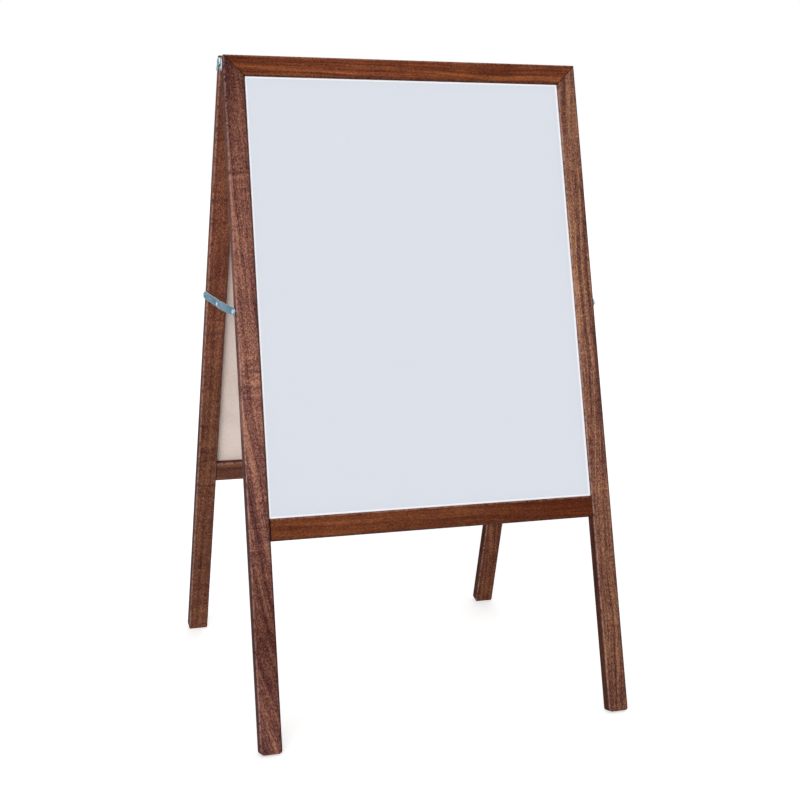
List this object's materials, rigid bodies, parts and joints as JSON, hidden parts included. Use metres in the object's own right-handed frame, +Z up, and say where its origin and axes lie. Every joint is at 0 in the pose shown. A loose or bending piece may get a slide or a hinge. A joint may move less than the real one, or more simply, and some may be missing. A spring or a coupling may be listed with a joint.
{
  "type": "dry-erase easel",
  "caption": "Folding wooden A-frame easel with a white dry-erase board on each face, top strap hinges and two-link side braces that fold up between the frames.",
  "frame": {"origin": "on the floor under the hinge line, midway between the two sides", "axes": "+Z up, +X to the right seen from the front, the front board faces -Y"},
  "size_m": [0.617, 0.5862, 1.0334],
  "materials": {
    "stained_wood": "satin reddish-brown stain",
    "dry_erase": "smooth white writing surface",
    "hardboard": "matt pressed board",
    "bare_wood": "bare beech",
    "zinc_steel": "bright zinc plate"
  },
  "bodies": {
    "front_frame": {"front_left_stile": "stained_wood", "front_right_stile": "stained_wood", "front_top_rail": "stained_wood", "front_bottom_rail": "stained_wood", "front_backing_board": "hardboard", "front_dry_erase_sheet": "dry_erase", "front_mitre_splines": "bare_wood", "front_rail_tenons": "bare_wood", "front_left_hinge_leaf": "zinc_steel", "front_right_hinge_leaf": "zinc_steel", "front_hinge_screws": "zinc_steel", "front_brace_screws": "zinc_steel", "front_brace_washers": "zinc_steel", "hinge_rivets": "zinc_steel"},
    "rear_frame": {"rear_left_stile": "stained_wood", "rear_right_stile": "stained_wood", "rear_top_rail": "stained_wood", "rear_bottom_rail": "stained_wood", "rear_backing_board": "hardboard", "rear_dry_erase_sheet": "dry_erase", "rear_mitre_splines": "bare_wood", "rear_rail_tenons": "bare_wood", "rear_left_hinge_leaf": "zinc_steel", "rear_right_hinge_leaf": "zinc_steel", "rear_hinge_screws": "zinc_steel", "rear_brace_screws": "zinc_steel", "rear_brace_washers": "zinc_steel"},
    "left_front_link": {"left_front_link": "zinc_steel", "left_rivet_head": "zinc_steel"},
    "left_rear_link": {"left_rear_link": "zinc_steel", "left_rivet_tail": "zinc_steel"},
    "right_front_link": {"right_front_link": "zinc_steel", "right_rivet_head": "zinc_steel"},
    "right_rear_link": {"right_rear_link": "zinc_steel", "right_rivet_tail": "zinc_steel"}
  },
  "joints": [
    {"name": "fold", "type": "hinge", "parent": "front_frame", "child": "rear_frame", "pos_m": [0, 0, 1.02282], "axis": [-1, 0, 0], "range_deg": [0, 29.8]},
    {"name": "left_front_link_turn", "type": "hinge", "parent": "front_frame", "child": "left_front_link", "pos_m": [-0.3025, -0.11371, 0.6402], "axis": [1, 0, 0], "range_deg": [0, 70.06]},
    {"name": "left_rear_link_turn", "type": "hinge", "parent": "rear_frame", "child": "left_rear_link", "pos_m": [-0.3025, 0.11371, 0.6402], "axis": [-1, 0, 0], "range_deg": [0, 70.06]},
    {"name": "right_front_link_turn", "type": "hinge", "parent": "front_frame", "child": "right_front_link", "pos_m": [0.3025, -0.11371, 0.6402], "axis": [1, 0, 0], "range_deg": [0, 70.06]},
    {"name": "right_rear_link_turn", "type": "hinge", "parent": "rear_frame", "child": "right_rear_link", "pos_m": [0.3025, 0.11371, 0.6402], "axis": [-1, 0, 0], "range_deg": [0, 70.06]}
  ],
  "couplings": [
    {"joint": "left_front_link_turn", "follows": "fold", "ratio": 2.3508},
    {"joint": "left_rear_link_turn", "follows": "fold", "ratio": 2.3508},
    {"joint": "right_front_link_turn", "follows": "fold", "ratio": 2.3508},
    {"joint": "right_rear_link_turn", "follows": "fold", "ratio": 2.3508}
  ]
}
